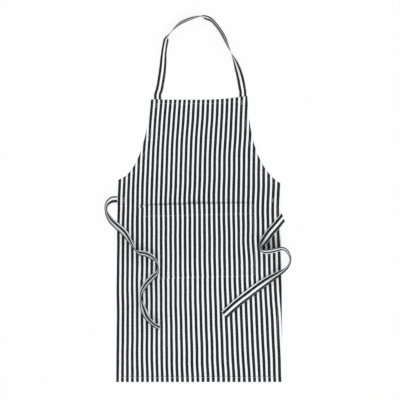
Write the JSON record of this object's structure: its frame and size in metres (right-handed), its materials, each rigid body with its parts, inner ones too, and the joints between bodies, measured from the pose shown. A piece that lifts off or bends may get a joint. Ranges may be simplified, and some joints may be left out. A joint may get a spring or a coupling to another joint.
{
  "type": "butcher apron",
  "caption": "Striped cotton bib apron laid flat, front up: turned hems, one wide patch pocket, a sewn neck strap and waist ties that lift and swing.",
  "frame": {"origin": "middle of the waist line, on the back of the cloth, which is the plane the apron lies on", "axes": "+Z out of the front of the apron, +Y towards the neck, +X to the right as the front is looked at"},
  "size_m": [0.6005, 1.2274, 0.0328],
  "materials": {
    "body_cloth": "matte woven cotton drill, narrow navy-black and white stripes",
    "turned_cloth": "matte woven cotton drill, turned under and pressed",
    "tape_cloth": "matte woven cotton drill, folded and sewn into a tape with two dark stripes",
    "thread": "spun polyester sewing thread, off-white"
  },
  "bodies": {
    "apron": {"body_panel": "body_cloth", "bib_top_hem": "turned_cloth", "armhole_hem_left": "turned_cloth", "armhole_hem_right": "turned_cloth", "side_hem_left": "turned_cloth", "side_hem_right": "turned_cloth", "bottom_hem": "turned_cloth", "pocket_panel": "body_cloth", "pocket_mouth_hem": "turned_cloth", "pocket_turning_left": "turned_cloth", "pocket_turning_right": "turned_cloth", "pocket_turning_bottom": "turned_cloth", "neck_strap_end_left": "tape_cloth", "neck_strap_end_right": "tape_cloth", "waist_tie_end_left": "tape_cloth", "waist_tie_end_right": "tape_cloth", "stitch_bib_top": "thread", "stitch_armhole_left": "thread", "stitch_armhole_right": "thread", "stitch_side_left": "thread", "stitch_side_right": "thread", "stitch_bottom": "thread", "stitch_pocket_left": "thread", "stitch_pocket_right": "thread", "stitch_pocket_bottom": "thread", "stitch_pocket_mouth": "thread", "bartack_pocket_left": "thread", "bartack_pocket_right": "thread", "box_stitch_strap_left": "thread", "box_stitch_strap_right": "thread", "box_stitch_tie_left": "thread", "box_stitch_tie_right": "thread"},
    "neck_strap": {"neck_strap": "tape_cloth"},
    "tie_left": {"waist_tie_left": "tape_cloth"},
    "tie_right": {"waist_tie_right": "tape_cloth"}
  },
  "joints": [
    {"name": "neck_strap_lift", "type": "hinge", "parent": "apron", "child": "neck_strap", "pos_m": [0, 0.3033, 0.0013], "axis": [0.9994, 0.0357, 0], "range_deg": [0, 150]},
    {"name": "tie_left_lift", "type": "hinge", "parent": "apron", "child": "tie_left", "pos_m": [-0.2715, -0.0405, 0.0006], "axis": [-1, 0, 0], "range_deg": [0, 120]},
    {"name": "tie_right_swing", "type": "hinge", "parent": "apron", "child": "tie_right", "pos_m": [0.273, -0.112, 0.0031], "axis": [-0.32, 0.9474, 0], "range_deg": [0, 150]}
  ]
}
